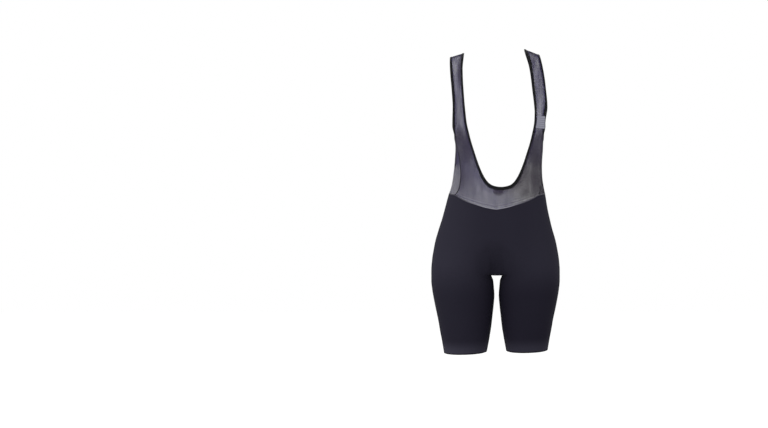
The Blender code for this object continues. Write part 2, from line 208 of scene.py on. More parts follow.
PIECES = (
    "shorts_front",
    "shorts_back_left",
    "shorts_back_right",
    "gusset",
    "bib_front",
    "bib_back",
)

# Soft folds: front or back, start and end across and up, half width, depth, all but the first in mm
FOLDS = (
    ("front", 106, -20, 108, -150, 7.0, 0.9),
    ("front", 119, -60, 116, -165, 5.0, 0.5),
    ("front", 96, 0, 112, -95, 4.5, 0.6),
    ("front", -96, -25, -93, -150, 6.0, 0.8),
    ("front", -110, -40, -105, -175, 5.0, 0.5),
    ("back", 104, -30, 106, -170, 7.0, 0.9),
    ("back", -98, -20, -95, -160, 6.0, 0.8),
    ("front", -88, -215, -62, -330, 11.0, 0.9),
    ("front", 101, -230, 82, -335, 10.0, 0.8),
    ("front", 140, -455, 141, -492, 5.0, 1.0),
    ("front", 112, -664, 150, -661, 4.0, 0.5),
    ("front", -30, -545, -95, -520, 9.0, 1.0),
    ("front", 30, -548, 92, -524, 9.0, 0.9),
    ("back", -32, -560, -110, -575, 9.0, 1.5),
    ("back", 32, -560, 112, -577, 9.0, 1.6),
    ("back", -40, -600, -120, -592, 8.0, 0.8),
    ("back", 40, -604, 118, -594, 8.0, 0.9),
    ("back", -80, -330, -30, -350, 9.0, 0.8),
    ("back", 84, -334, 36, -352, 9.0, 0.8),
)

# Painted shade on the front mesh, as spots where it is made denser and deeper in colour (a negative cover
# makes a spot lighter): middle across and up, reach across and up, added cover
PAINTED_SHADES = (
    (-85, -248, 41, 60, 0.26),
    (106, -254, 38, 62, 0.30),
    (-98, -328, 24, 66, 0.16),
    (114, -330, 27, 75, 0.20),
    (90, -351, 48, 52, 0.14),
    (-68, -335, 34, 72, 0.12),
    (-92, -50, 12, 66, 0.24),
    (-104, -160, 30, 60, 0.12),
    (98, -150, 9, 60, 0.20),
    (106, -16, 34, 44, 0.10),
    (93, -78, 9, 42, 0.16),
    (120, -80, 10, 60, 0.12),
    (9, -364, 19, 21, 0.45),
    (72, -290, 13, 34, 0.30),
    (56, -328, 13, 26, 0.30),
    (40, -348, 15, 18, 0.22),
    (-98, -220, 14, 24, 0.12),
    (124, -216, 13, 22, 0.13),
    (-46, -336, 20, 38, -0.10),
    (80, -372, 15, 15, 0.10),
    (128, -302, 12, 46, 0.20),
)
# How close the mesh is in the straps, above the waist and where it turns over the shoulders
STRAP_COVER = 0.36
WAIST_COVER = 0.37
BACK_COVER = 0.40
CREST_COVER = 0.12

# Stitching
SEAM_WIDTH = 4.6 * MM
SEAM_RISE = 0.35 * MM
SIDE_SEAM_WIDTH = 3.4 * MM
EDGE_WIDTH = 2.6 * MM
SEAM_ROOT = 0.2 * MM
TOPSTITCH = 7 * MM
TOPSTITCH_RISE = 0.1 * MM
THREAD = 0.34 * MM
SEAM_STITCH = 2.4 * MM
EDGE_STITCH = 3.2 * MM
EDGE_STITCH_INSET = 1.2 * MM
# Half of a stitch's run as a share: across a flat seam, along it, and in a plain row
ZIGZAG_ACROSS = 0.40
ZIGZAG_ALONG = 0.25
RUNNING_ALONG = 0.36


def between(low, high, share):
    return low + (high - low) * share


def smooth_step(share):
    share = min(max(share, 0.0), 1.0)
    return share * share * (3 - 2 * share)


def smooth(table, column, at):
    """The value of one column of a table at a place in its first column, on a smooth curve."""
    rows = sorted(table)
    places = [row[0] for row in rows]
    values = [row[column] for row in rows]
    slopes = [(values[i + 1] - values[i]) / (places[i + 1] - places[i]) for i in range(len(rows) - 1)]
    at = min(max(at, places[0]), places[-1])
    i = max(k for k in range(len(rows) - 1) if places[k] <= at)
    step = places[i + 1] - places[i]
    share = (at - places[i]) / step
    low = flatter(slopes[max(i - 1, 0)], slopes[i])
    high = flatter(slopes[i], slopes[min(i + 1, len(slopes) - 1)])
    return (
        values[i] * (1 + 2 * share) * (1 - share) ** 2
        + low * step * share * (1 - share) ** 2
        + values[i + 1] * share**2 * (3 - 2 * share)
        + high * step * share**2 * (share - 1)
    )


def flatter(slope, other):
    """The slope of a curve where stretches of these two slopes meet, with no overshoot."""
    if slope * other <= 0:
        return 0.0
    return 2 * slope * other / (slope + other)


def bent(share):
    """A sine or cosine, pushed towards the corners of a section that is squarer than an ellipse."""
    return math.copysign(abs(share) ** (2 / ROUNDNESS), share)


def unbent(share):
    return math.copysign(min(abs(share), 1.0) ** (ROUNDNESS / 2), share)


def section(height):
    """The centre, half width, front depth and back depth of the figure at this height."""
    return [smooth(SECTIONS, column, height / MM) * MM for column in (1, 2, 3, 4)]


def figure(angle, height):
    """The point of the figure's skin at this angle from the front, to the right where positive."""
    centre, half, front, back = section(height)
    ahead = math.cos(angle)
    depth = front if ahead > 0 else back
    return Vector((centre + half * bent(math.sin(angle)), -depth * bent(ahead), height))


def angle_at(x, height):
    """The angle, on the front half, of the figure's point with this x."""
    centre, half, _, _ = section(height)
    return math.asin(unbent((x - centre) / half))


def waist_height(angle):
    return smooth(WAIST, 1, abs(math.degrees(angle))) * MM


# ---- Legs


def leg_section(height):
    """The centre, half width, front depth and back depth of the right leg at this height."""
    _, outer, front, back = section(height)
    inner = smooth(LEG_GAP, 1, height / MM) * MM
    return (outer + inner) / 2, (outer - inner) / 2, front, back


def leg(side, angle, height):
    """The point of a leg's skin: the angle is 0 at its front, 90 degrees outside, 270 at the inseam."""
    centre, half, front, back = leg_section(height)
    ahead = math.cos(angle)
    depth = front if ahead > 0 else back
    return Vector((side * (centre + half * bent(math.sin(angle))), -depth * bent(ahead), height))


def stand(point):
    """Takes a point of the shorts to its place in the stance."""
    share = point.x / WIDEST
    aside = GAP_ASIDE * smooth_step((GAP_ASIDE_FROM - point.z) / (GAP_ASIDE_FROM - CROTCH))
    tilt = HEM_TILT * smooth_step((HEM_TILT_FROM - point.z) / (HEM_TILT_FROM - HEM))
    return point + Vector((aside * (1 - share * share), 0, tilt * share))


def leg_angle(angle):
    """The angle on the leg where the column that comes down the hips at this angle goes on."""
    centre, half, _, _ = leg_section(CROTCH)
    aside = max(math.sin(angle), math.sin(math.radians(GUSSET_COLUMN)))
    x = section(CROTCH)[1] * bent(aside)
    turned = math.asin(unbent((x - centre) / half))
    return turned if angle <= math.pi / 2 else math.pi - turned


def hips(side, angle, share):
    """The point of the shorts' skin above the crotch, at this share of the way down to it."""
    height = between(waist_height(angle), CROTCH, share)
    point = figure(side * angle, height)
    _, _, front, back = section(height)
    ahead = math.cos(leg_angle(angle))
    forked = -(front if ahead > 0 else back) * bent(ahead)
    point.y = between(point.y, forked, smooth_step((FORK_START - height) / (FORK_START - CROTCH)))
    return point


# ---- Bib


def neck_binding_width(height):
    """Wide where the neckline is low, and narrow up the straps."""
    narrowed = smooth_step((height - NECK_BOTTOM) / NECK_BINDING_TAPER)
    return between(NECK_BINDING_WIDTH, BINDING_WIDTH, narrowed)


def armhole_binding_width(height):
    """The same at every height."""
    return BINDING_WIDTH


def share_across(column, neck_width, length):
    """The share of a rung's length at a column; the second and last but one are where bindings end."""
    first, last = BIB_COLUMNS[1], BIB_COLUMNS[-2]
    neck, outer = COLUMN_ROOM * neck_width / length, 1 - COLUMN_ROOM * BINDING_WIDTH / length
    if column < first:
        return neck * column / first
    if column > last:
        return between(outer, 1, (column - last) / (1 - last))
    return between(neck, outer, (column - first) / (last - first))


def crest(side):
    return [height * MM for height in (LEFT_CREST if side < 0 else RIGHT_CREST)]


def rise(rung):
    """How far a rung past the chest has climbed towards the shoulder, from 0 to 1."""
    return math.sin((min(max(rung, 3.0), 4.0) - 3) * math.pi / 2)


def spread(back, rung):
    """How much wider the back's edges are than the front's, less and less towards the shoulder."""
    return 1 + BACK_SPREAD * math.sqrt(max(1 - rise(rung) ** 2, 0)) if back else 1.0


def neck_end(side, back, rung):
    """The angle and height of a rung's end at the neckline."""
    if rung < 1:
        level = between(NECK_BOTTOM, NECK_CLIMB[0][1] * MM, rung**2)
    elif rung < 3:
        level = smooth(NECK_CLIMB, 1, rung) * MM
    else:
        level = between(CHEST, 0, rise(rung))
    squares = [(row[0], row[2] ** 2) for row in BIB_EDGES]
    half = math.sqrt(max(smooth(squares, 1, level / MM), 0)) * MM
    x = (smooth(BIB_EDGES, 1, level / MM) * MM + side * half) * spread(back, rung)
    height = min(level, CHEST)
    angle = side * angle_at(x, height)
    if back and rung < 3:
        height += BACK_NECK_RISE * (3 - rung) / 3
    return math.pi - angle if back else angle, height


def outer_end(side, back, rung):
    """The angle and height of a rung's end at the waist, the side seam or the armhole."""
    seam = math.radians(SIDE_SEAM_AT_WAIST)
    if rung <= 1:
        angle = between(math.pi if back else 0, seam, rung)
        return angle, waist_height(angle)
    if rung <= 2:
        height = between(waist_height(seam), ARMHOLE_BOTTOM, rung - 1)
        column = 1 if side < 0 else 2
        return math.radians(smooth(SIDE_SEAMS, column, height / MM)), height
    level = between(ARMHOLE_BOTTOM, CHEST, rung - 2) if rung < 3 else between(CHEST, 0, rise(rung))
    height = min(level, CHEST)
    widening = smooth_step((height - ARMHOLE_BOTTOM) / BACK_SPREAD_HEIGHT) * (spread(back, rung) - 1)
    x = smooth(BIB_EDGES, 3, level / MM) + side * smooth(BIB_EDGES, 4, level / MM)
    angle = side * angle_at(x * MM * (1 + widening), height)
    return math.pi - angle if back else angle, height


def bib(side, back, rung, column):
    """The point of the bib's skin on a rung, from the neckline at column 0 to the outer end at 1."""
    neck_angle, neck_height = neck_end(side, back, rung)
    outer_angle, outer_height = outer_end(side, back, rung)
    length = math.hypot(FIGURE_RADIUS * (outer_angle - neck_angle), outer_height - neck_height)
    across = share_across(column, neck_binding_width(neck_height), length)
    angle = between(neck_angle, outer_angle, across)
    point = figure(side * angle, between(neck_height, outer_height, across))
    if rung > 3:
        top = between(*crest(side), across)
        point.y *= math.sqrt(max(1 - rise(rung) ** 2, 0))
        point.z = between(CHEST, top, rise(rung))
    return point


def rung_at(column, height):
    """The rung that crosses this column of the right strap's front at this height."""
    low, high = 2.0, 3.0
    for _ in range(HALVINGS):
        middle = (low + high) / 2
        if bib(1, False, middle, column).z < height:
            low = middle
        else:
            high = middle
    return low


# ---- The skin


def finer(places):
    """The same grid lines with more of them in between."""
    pairs = zip(places, places[1:])
    return [place for low, high in pairs for place in steps(low, high, FINENESS)[:-1]] + [places[-1]]


def add_patch(skin, piece, columns, rows, place):
    """Adds a grid of faces that belong to a piece, with a corner at place(column, row) for each."""
    label = skin.faces.layers.int["piece"]
    across = skin.verts.layers.float["across"]
    old = set(skin.faces)
    grid = bmesh.ops.create_grid(skin, x_segments=len(columns) - 1, y_segments=len(rows) - 1, size=0.5)
    for vertex in grid["verts"]:
        column = columns[round((vertex.co.x + 0.5) * (len(columns) - 1))]
        row = rows[round((vertex.co.y + 0.5) * (len(rows) - 1))]
        vertex.co = place(column, row)
        vertex[across] = column
    for face in set(skin.faces) - old:
        face[label] = PIECES.index(piece)


def steps(low, high, count):
    return [between(low, high, i / count) for i in range(count + 1)]


def add_shorts(skin):
    legs = finer([height * MM for height in LEG_ROWS])
    quarter = math.pi / 2
    for side, name in ((-1, "left"), (1, "right")):
        for columns, piece in ((FRONT_COLUMNS, "shorts_front"), (BACK_COLUMNS, "shorts_back_" + name)):
            angles = [math.radians(column) for column in finer(columns)]
            add_patch(
                skin,
                piece,
                angles,
                finer(HIP_ROWS),
                lambda turn, share, side=side: stand(hips(side, turn, share)),
            )
            outside = [leg_angle(angle) for angle in angles[2 * FINENESS :]]
            inseam = -quarter if outside[0] < quarter else 3 * quarter
            inside = steps(inseam, outside[0], INSEAM_STEPS * FINENESS)
            for turns in (outside, inside):
                add_patch(
                    skin,
                    piece,
                    turns,
                    legs,
                    lambda turn, level, side=side: stand(leg(side, turn, level)),
                )


def add_gusset(skin):
    corner = leg_angle(math.radians(FRONT_COLUMNS[2]))
    count = INSEAM_STEPS * FINENESS
    turns = steps(corner, -math.pi / 2, count)
    turns += steps(-math.pi / 2, -math.pi - corner, count)[1:]
    half = [hips(1, math.radians(column), 1.0).x for column in finer(FRONT_COLUMNS[:3])]
    shares = [-x / half[-1] for x in half[:0:-1]] + [x / half[-1] for x in half]

    def place(share, turn):
        point = leg(1, turn, CROTCH)
        point.x *= share
        return stand(point)

    add_patch(skin, "gusset", shares, turns, place)


def add_bib(skin):
    for side in (-1, 1):
        for back, columns in ((False, FRONT_COLUMNS[:8]), (True, BACK_BIB_COLUMNS)):
            rungs = [abs(column - columns[0]) / abs(columns[-1] - columns[0]) for column in columns]
            rungs = finer(tuple(rungs) + SIDE_RUNGS + ARMHOLE_RUNGS + SHOULDER_RUNGS)
            add_patch(
                skin,
                "bib_back" if back else "bib_front",
                finer(BIB_COLUMNS),
                rungs,
                lambda column, rung, side=side, back=back: bib(side, back, rung, column),
            )


def stretch_fork(skin):
    """Eases the depth of the skin above the gusset, and leaves its outline from the front alone."""
    fork = [
        vertex
        for vertex in skin.verts
        if abs(vertex.co.x) < FORK_HALF_WIDTH and CROTCH + LEVEL < vertex.co.z < FORK_TOP
    ]
    for _ in range(FORK_ROUNDS):
        bmesh.ops.smooth_vert(skin, verts=fork, factor=0.5, use_axis_y=True)


def press_folds(skin):
    """Sinks the soft folds into the skin, deepest halfway along each."""
    for vertex in skin.verts:
        depth = 0.0
        for face, x0, z0, x1, z1, half, deep in FOLDS:
            if (face == "back") != (vertex.co.y > 0):
                continue
            along_x, along_z = x1 - x0, z1 - z0
            length = math.hypot(along_x, along_z)
            x, z = vertex.co.x / MM - x0, vertex.co.z / MM - z0
            share = (x * along_x + z * along_z) / length**2
            if not 0 < share < 1:
                continue
            away = (x * along_z - z * along_x) / length
            depth += deep * math.exp(-((away / half) ** 2)) * math.sin(share * math.pi) ** 2
        vertex.co -= vertex.normal * depth * MM


def make_skin():
    """The garment's outer surface, whole, with each face marked with its piece."""
    skin = bmesh.new()
    skin.faces.layers.int.new("piece")
    skin.verts.layers.float.new("across")
    add_shorts(skin)
    add_gusset(skin)
    add_bib(skin)
    bmesh.ops.remove_doubles(skin, verts=skin.verts, dist=WELD)
    stretch_fork(skin)
    bmesh.ops.recalc_face_normals(skin, faces=skin.faces)
    front = min(skin.faces, key=lambda face: face.calc_center_median().y)
    if front.normal.y > 0:
        bmesh.ops.reverse_faces(skin, faces=skin.faces)
    skin.normal_update()
    press_folds(skin)
    skin.normal_update()
    return skin


# ---- Cloth


def inward(edge, face):
    """The direction in a face that leads away from one of its edges."""
    start, end = [vertex.co for vertex in edge.verts]
    across = (end - start).normalized().cross(face.normal)
    return across if across.dot(face.calc_center_median() - start) > 0 else -across


def slide(ways):
    """The move that takes a corner along each of two directions, given as (direction, distance)."""
    (one, first), (two, second) = ways
    lean = one.dot(two)
    if lean > ALIKE:
        return (one + two).normalized() * (first + second) / 2
    return (one * (first - lean * second) + two * (second - lean * first)) / (1 - lean * lean)


def margin(edge):
    """How far a piece's cloth stays back from an edge of the skin."""
    if len(edge.link_faces) == 2:
        return SEAM_GAP / 2
    on_hem = max(vertex.co.z for vertex in edge.verts) < CROTCH
    return 0.0 if on_hem else BINDING_WALL + SEAM_GAP


def cut(skin, name, wall):
    """A closed wall of cloth from the skin's faces of one piece, with the skin as its outside."""
    label = skin.faces.layers.int["piece"]
    index = PIECES.index(name)
    ways = {}
    normals = {}
    for face in skin.faces:
        if face[label] != index:
            continue
        for edge in face.edges:
            if sum(other[label] == index for other in edge.link_faces) == 1:
                for vertex in edge.verts:
                    ways.setdefault(vertex, []).append((inward(edge, face), margin(edge)))
        for vertex in face.verts:
            normals[vertex] = vertex.normal
    cloth = skin.copy()
    label = cloth.faces.layers.int["piece"]
    corners = dict(zip(skin.verts, cloth.verts))
    bmesh.ops.delete(cloth, geom=[face for face in cloth.faces if face[label] != index], context="FACES")
    for vertex, way in ways.items():
        corners[vertex].co += slide(way)
    thicken(cloth, {corners[vertex]: normal for vertex, normal in normals.items()}, wall)
    return cloth


def thicken(cloth, normals, wall):
    """Gives an open sheet a wall on its inner side, square to the normals of its vertices."""
    outside = list(cloth.faces)
    places = {vertex: (vertex.co.copy(), normal.copy()) for vertex, normal in normals.items()}
    bmesh.ops.extrude_face_region(cloth, geom=outside, use_keep_orig=True)
    # The vertices made by extruding stay in place as the outside; the first ones become the inside
    for vertex, (place, normal) in places.items():
        vertex.co = place - normal * wall
    bmesh.ops.recalc_face_normals(cloth, faces=cloth.faces)


# ---- Trims


def chain(edges):
    """The vertices of joined edges, in order from one loose end, or all the way round."""
    links = {}
    for edge in edges:
        for vertex in edge.verts:
            links.setdefault(vertex, []).append(edge.other_vert(vertex))
    chains = []
    left = dict(links)
    while left:
        ends = [vertex for vertex in left if len(links[vertex]) == 1]
        path = [ends[0] if ends else next(iter(left))]
        closed = not ends
        while True:
            left.pop(path[-1], None)
            ahead = [vertex for vertex in links[path[-1]] if vertex in left]
            if not ahead:
                break
            path.append(ahead[0])
        chains.append((path, closed))
    return chains


def sweep(stations, closed):
    """A tube through rings of points, one ring for each station, capped where it is not closed."""
    ring = len(stations[0])
    tube = bmesh.new()
    rows = len(stations) if closed else len(stations) - 1
    grid = bmesh.ops.create_grid(tube, x_segments=ring, y_segments=rows, size=0.5)
    for vertex in grid["verts"]:
        corner = round((vertex.co.x + 0.5) * ring) % ring
        station = round((vertex.co.y + 0.5) * rows) % len(stations)
        vertex.co = stations[station][corner]
    bmesh.ops.remove_doubles(tube, verts=tube.verts, dist=WELD / 10)
    bmesh.ops.holes_fill(tube, edges=[edge for edge in tube.edges if edge.is_boundary])
    bmesh.ops.recalc_face_normals(tube, faces=tube.faces)
    return tube


def binding_stations(skin, start, width_at):
    """For each vertex along an open edge: its place, the way into the cloth, its normal, the width."""
    open_edges = [edge for edge in skin.edges if edge.is_boundary]
    paths = [path for path, _ in chain(open_edges)]
    path = min(paths, key=lambda path: min((vertex.co - start).length for vertex in path))
    stations = []
    for vertex in path:
        own = [edge for edge in vertex.link_edges if edge.is_boundary]
        across = slide([(inward(edge, edge.link_faces[0]), 1.0) for edge in own]).normalized()
        inner_edges = [edge for edge in vertex.link_edges if not edge.is_boundary]
        rungs = [(edge.other_vert(vertex).co - vertex.co).normalized() for edge in inner_edges]
        rung = max(rungs, key=across.dot)
        into = rung / rung.dot(across)
        stations.append((vertex.co.copy(), into, vertex.normal.copy(), width_at(vertex.co.z)))
    return stations


def binding(stations):
    """A strip folded over the cloth's edge, rounded where it folds."""
    outside = BINDING_SLACK
    inside = -MESH_WALL - BINDING_SLACK
    middle = (outside + inside) / 2
    bulge = (outside - inside) / 2 + BINDING_WALL
    rings = []
    for place, into, normal, width in stations:
        profile = []
        for turn in steps(-90, 90, BINDING_FOLD_STEPS):
            swing = math.radians(turn)
            profile.append((BINDING_WALL * (1 - math.cos(swing)), middle + bulge * math.sin(swing)))
        profile += [
            (width * 0.5, outside + BINDING_WALL * BINDING_SWELL),
            (width - BINDING_CORNER, outside + BINDING_WALL),
            (width, outside + BINDING_WALL * 0.5),
            (width, outside),
            (BINDING_WALL, outside),
            (BINDING_WALL, inside),
            (width, inside),
            (width, inside - BINDING_WALL * 0.5),
            (width - BINDING_CORNER, inside - BINDING_WALL),
            (width * 0.5, inside - BINDING_WALL * BINDING_SWELL),
        ]
        rings.append([place + into * depth + normal * out for depth, out in profile])
    return sweep(rings, True)


def walk(points, step):
    """Places along a line of (point, across, normal), evenly spaced, with the way along at each."""
    run = 0.0
    places = []
    for (one, across, normal), (two, across2, normal2) in zip(points, points[1:]):
        length = (two - one).length
        while run < length:
            share = run / length
            places.append(
                (
                    one.lerp(two, share),
                    (two - one) / length,
                    across.lerp(across2, share).normalized(),
                    normal.lerp(normal2, share).normalized(),
                )
            )
            run += step
        run -= length
    return places


def stitches(rows):
    """Short threads, thinner at both ends, one for each (centre, half run, normal)."""
    curve = bpy.data.curves.new("threads", "CURVE")
    curve.dimensions = "3D"
    curve.bevel_depth = THREAD
    curve.bevel_resolution = 0
    curve.use_fill_caps = True
    for centre, half, normal in rows:
        spline = curve.splines.new("POLY")
        spline.points.add(2)
        for point, along in zip(spline.points, (-1, 0, 1)):
            place = centre + half * along - normal * THREAD * 0.5 * abs(along)
            point.co = (*place, 1.0)
            point.radius = 1.0 - 0.5 * abs(along)
    holder = bpy.data.objects.new("threads", curve)
    mesh = bpy.data.meshes.new_from_object(holder)
    made = bmesh.new()
    made.from_mesh(mesh)
    bpy.data.objects.remove(holder)
    bpy.data.curves.remove(curve)
    bpy.data.meshes.remove(mesh)
    bmesh.ops.remove_doubles(made, verts=made.verts, dist=WELD)
    return made


def seam_paths(skin, one, two):
    """The seams between two pieces: lines of (point, across, normal) on the skin."""
    label = skin.faces.layers.int["piece"]
    pair = {PIECES.index(one), PIECES.index(two)}
    edges = [edge for edge in skin.edges if {face[label] for face in edge.link_faces} == pair]
    paths = []
    for path, closed in chain(edges):
        if closed:
            path = path + path[:1]
        line = []
        for i, vertex in enumerate(path):
            ahead = path[min(i + 1, len(path) - 1)].co - path[max(i - 1, 0)].co
            line.append((vertex.co.copy(), vertex.normal.cross(ahead).normalized(), vertex.normal.copy()))
        paths.append(line)
    return paths


def seam_tape(line, width, rise_by):
    """A flat, soft-edged raised seam along a line on the skin."""
    rings = []
    for point, across, normal in line:
        half = width / 2
        profile = (
            (-half, -SEAM_ROOT),
            (-half * 0.82, rise_by * 0.8),
            (-half * 0.3, rise_by),
            (half * 0.3, rise_by),
            (half * 0.82, rise_by * 0.8),
            (half, -SEAM_ROOT),
        )
        rings.append([point + across * aside + normal * out for aside, out in profile])
    return sweep(rings, False)


def zigzag(line, width, out):
    """The threads of a flatlock seam, crossing it to and fro."""
    rows = []
    for i, (point, along, across, normal) in enumerate(walk(line, SEAM_STITCH / 2)):
        lean = 1 if i % 2 else -1
        half = across * width * ZIGZAG_ACROSS + along * SEAM_STITCH * ZIGZAG_ALONG * lean
        rows.append((point + normal * out, half, normal))
    return rows


def running(line, aside, out, step):
    """The threads of a plain row of stitches beside a line."""
    rows = []
    for point, along, across, normal in walk(line, step):
        rows.append((point + across * aside + normal * out, along * step * RUNNING_ALONG, normal))
    return rows


def band_rib(height):
    """Points across the band at this height, from the neck binding over and round the outer edge."""
    rib = []
    fold = MESH_WALL / 2 + BINDING_SLACK + BINDING_WALL + SEAM_GAP + BAND_WALL
    low, high = [bib(1, False, rung_at(1.0, height + aside), 1.0) for aside in (-LEVEL, LEVEL)]
    columns = steps(BAND_START, 1.0, BAND_STEPS)
    points = [bib(1, False, rung_at(column, height), column) for column in columns]
    for i, point in enumerate(points):
        across = (points[min(i + 1, BAND_STEPS)] - points[max(i - 1, 0)]).normalized()
        normal = across.cross(high - low).normalized()
        over = smooth_step((columns[i] - BINDING_COLUMN + BAND_CLIMB) / BAND_CLIMB)
        lift = between(SEAM_GAP + BAND_WALL, fold - MESH_WALL / 2, over)
        rib.append((point + normal * lift, normal))
    middle = points[-1] - normal * MESH_WALL / 2
    for turn in steps(0, BAND_FOLD, BAND_STEPS // 2)[1:]:
        swing = math.radians(turn)
        way = normal * math.cos(swing) + across * math.sin(swing)
        reach = normal * fold * math.cos(swing) + across * (SEAM_GAP + BAND_WALL) * math.sin(swing)
        rib.append((middle + reach, way))
    return rib


def strap_band():
    """A band across the right strap that folds round its outer edge, over the binding."""
    ribs = [band_rib(height) for height in steps(*BAND_EDGES, BAND_STEPS)]
    wide = len(ribs[0]) - 1
    band = bmesh.new()
    grid = bmesh.ops.create_grid(band, x_segments=wide, y_segments=BAND_STEPS, size=0.5)
    normals = {}
    for vertex in grid["verts"]:
        rib = ribs[round((vertex.co.y + 0.5) * BAND_STEPS)]
        vertex.co, normals[vertex] = rib[round((vertex.co.x + 0.5) * wide)]
    thicken(band, normals, BAND_WALL)
    return band


# ---- Finishes


class Wire:
    """A number or colour in a finish: arithmetic on it adds Math nodes."""

    def __init__(self, finish, socket):
        self.finish = finish
        self.socket = socket

    def math(self, operation, *values):
        settings = {"operation": operation}
        return self.finish.node("ShaderNodeMath", settings, dict(enumerate(values)))

    def size(self):
        """The value without its sign."""
        return self.math("ABSOLUTE", self)

    def larger(self, other):
        return self.math("MAXIMUM", self, other)

    def __add__(self, other):
        return self.math("ADD", self, other)

    def __radd__(self, other):
        return self.math("ADD", other, self)

    def __sub__(self, other):
        return self.math("SUBTRACT", self, other)

    def __rsub__(self, other):
        return self.math("SUBTRACT", other, self)

    def __mul__(self, other):
        return self.math("MULTIPLY", self, other)

    def __rmul__(self, other):
        return self.math("MULTIPLY", other, self)

    def step(self, low, high):
        """0 below low, 1 above high, and smooth between them; high may be the lower one."""
        sockets = {"Value": self, "From Min": low, "From Max": high}
        return self.finish.node("ShaderNodeMapRange", {"interpolation_type": "SMOOTHSTEP"}, sockets)

    def wave(self, period):
        """A sine along this value, from 0 to 1."""
        return self.math("SINE", self * (2 * math.pi / period)) * 0.5 + 0.5


class Finish:
    """A cloth or thread's material, made of nodes."""

    def __init__(self, name, colour, **constants):
        self.material = bpy.data.materials.new(name)
        self.material.use_nodes = True
        self.tree = self.material.node_tree
        self.shader = self.tree.nodes["Principled BSDF"]
        self.shader.inputs["Base Color"].default_value = (*colour, 1.0)
        for socket, value in constants.items():
            self.shader.inputs[socket.replace("_", " ")].default_value = value
        self.material.diffuse_color = (*colour, 1.0)

    def fill(self, socket, value):
        if isinstance(value, Wire):
            self.tree.links.new(value.socket, socket)
        else:
            socket.default_value = value

    def node(self, kind, settings, sockets, output=0):
        made = self.tree.nodes.new(kind)
        for name, value in settings.items():
            setattr(made, name, value)
        for name, value in sockets.items():
            self.fill(made.inputs[name], value)
        return Wire(self, made.outputs[output])

    def place(self):
        """The three coordinates of a point of the garment, in metres."""
        spot = self.node("ShaderNodeTexCoord", {}, {}, "Object")
        return [self.node("ShaderNodeSeparateXYZ", {}, {"Vector": spot}, axis) for axis in "XYZ"]

    def vector(self, x, y, z):
        return self.node("ShaderNodeCombineXYZ", {}, {"X": x, "Y": y, "Z": z})

    def across(self):
        """How far a place lies across its rung of the bib, 0 at the neckline and 1 at the outer end."""
        return self.node("ShaderNodeAttribute", {"attribute_name": "across"}, {}, "Fac")

    def facing(self):
        """How far the cloth faces the front or the back rather than a side, from 0 to 1."""
        way = self.node("ShaderNodeTexCoord", {}, {}, "Normal")
        return self.node("ShaderNodeSeparateXYZ", {}, {"Vector": way}, "Y").size()

    def noise(self, vector, scale, detail=2.0):
        return self.node("ShaderNodeTexNoise", {}, {"Vector": vector, "Scale": scale, "Detail": detail})

    def mix(self, factor, one, two):
        sockets = {0: factor, 6: one, 7: two}
        return self.node("ShaderNodeMix", {"data_type": "RGBA"}, sockets, 2)

    def bump(self, height, distance):
        return self.node("ShaderNodeBump", {}, {"Height": height, "Distance": distance})

    def use(self, **wires):
        for socket, wire in wires.items():
            self.fill(self.shader.inputs[socket.replace("_", " ")], wire)
        return self.material


WALE = 2.2 * MM
COURSE = 1.6 * MM
CLOUD_SCALE = 14.0
MESH_RIB_LEVEL = 6.0 * MM
MESH_RIB_UPRIGHT = 5.4 * MM
WAIST_LINE = 7.0 * MM
BAND_LINE = 5.2 * MM
SEAM_GRAIN = 1400.0
SEAM_RELIEF = 0.06 * MM

# Where a look begins to change and where it has changed: across (x) or up (z), in metres
# The next three mark where painted light makes the knit paler: towards its left side, towards its right side
# and on the hips
LEFT_PAINTED_LIGHT = (-0.02, -0.15)
RIGHT_PAINTED_LIGHT = (0.06, 0.16)
UPPER_PAINTED_LIGHT = (-0.655, -0.555)
STRAPS = (-0.24, -0.18)
CREST_TOP = (-0.05, -0.02)
ABOVE_SIDE_SEAM = (-0.31, -0.285)
# Across which the mesh's painted shade at its turning sides fades in from the left
PAINTED_RIM_SHADE_SIDE = (-0.12, 0.0)
# Top of a band of painted shade across the chest
PAINTED_CHEST_SHADE_TOP = (-0.20, -0.24)
LOWER_BIB = (-0.20, -0.36)
# Foot of that band of painted shade
PAINTED_CHEST_SHADE_FOOT = (-0.372, -0.31)
# Top and foot of painted shade on the back mesh where it wraps round to the front
BACK_PAINTED_SHADE_TOP = (-0.22, -0.24)
BACK_PAINTED_SHADE_FOOT = (-0.35, -0.30)
PALE_EDGE = (30 * MM, 85 * MM)

# The same, as heights over the hem, shares across a rung, or how far the cloth faces ahead
HEM_GRIP = (40 * MM, 4 * MM)
HEM_EDGE = (3.2 * MM, 2.2 * MM)
NECK_EDGE = (0.36, 0.12)
OUTER_EDGE = (0.68, 0.88)
# How far the cloth faces ahead where painted shade starts and is full at the knit's sides
KNIT_PAINTED_SIDE_SHADE = (0.42, 0.0)
# How far the mesh faces ahead where its painted shade at the sides starts and is full
MESH_PAINTED_SIDE_SHADE = (0.44, 0.04)


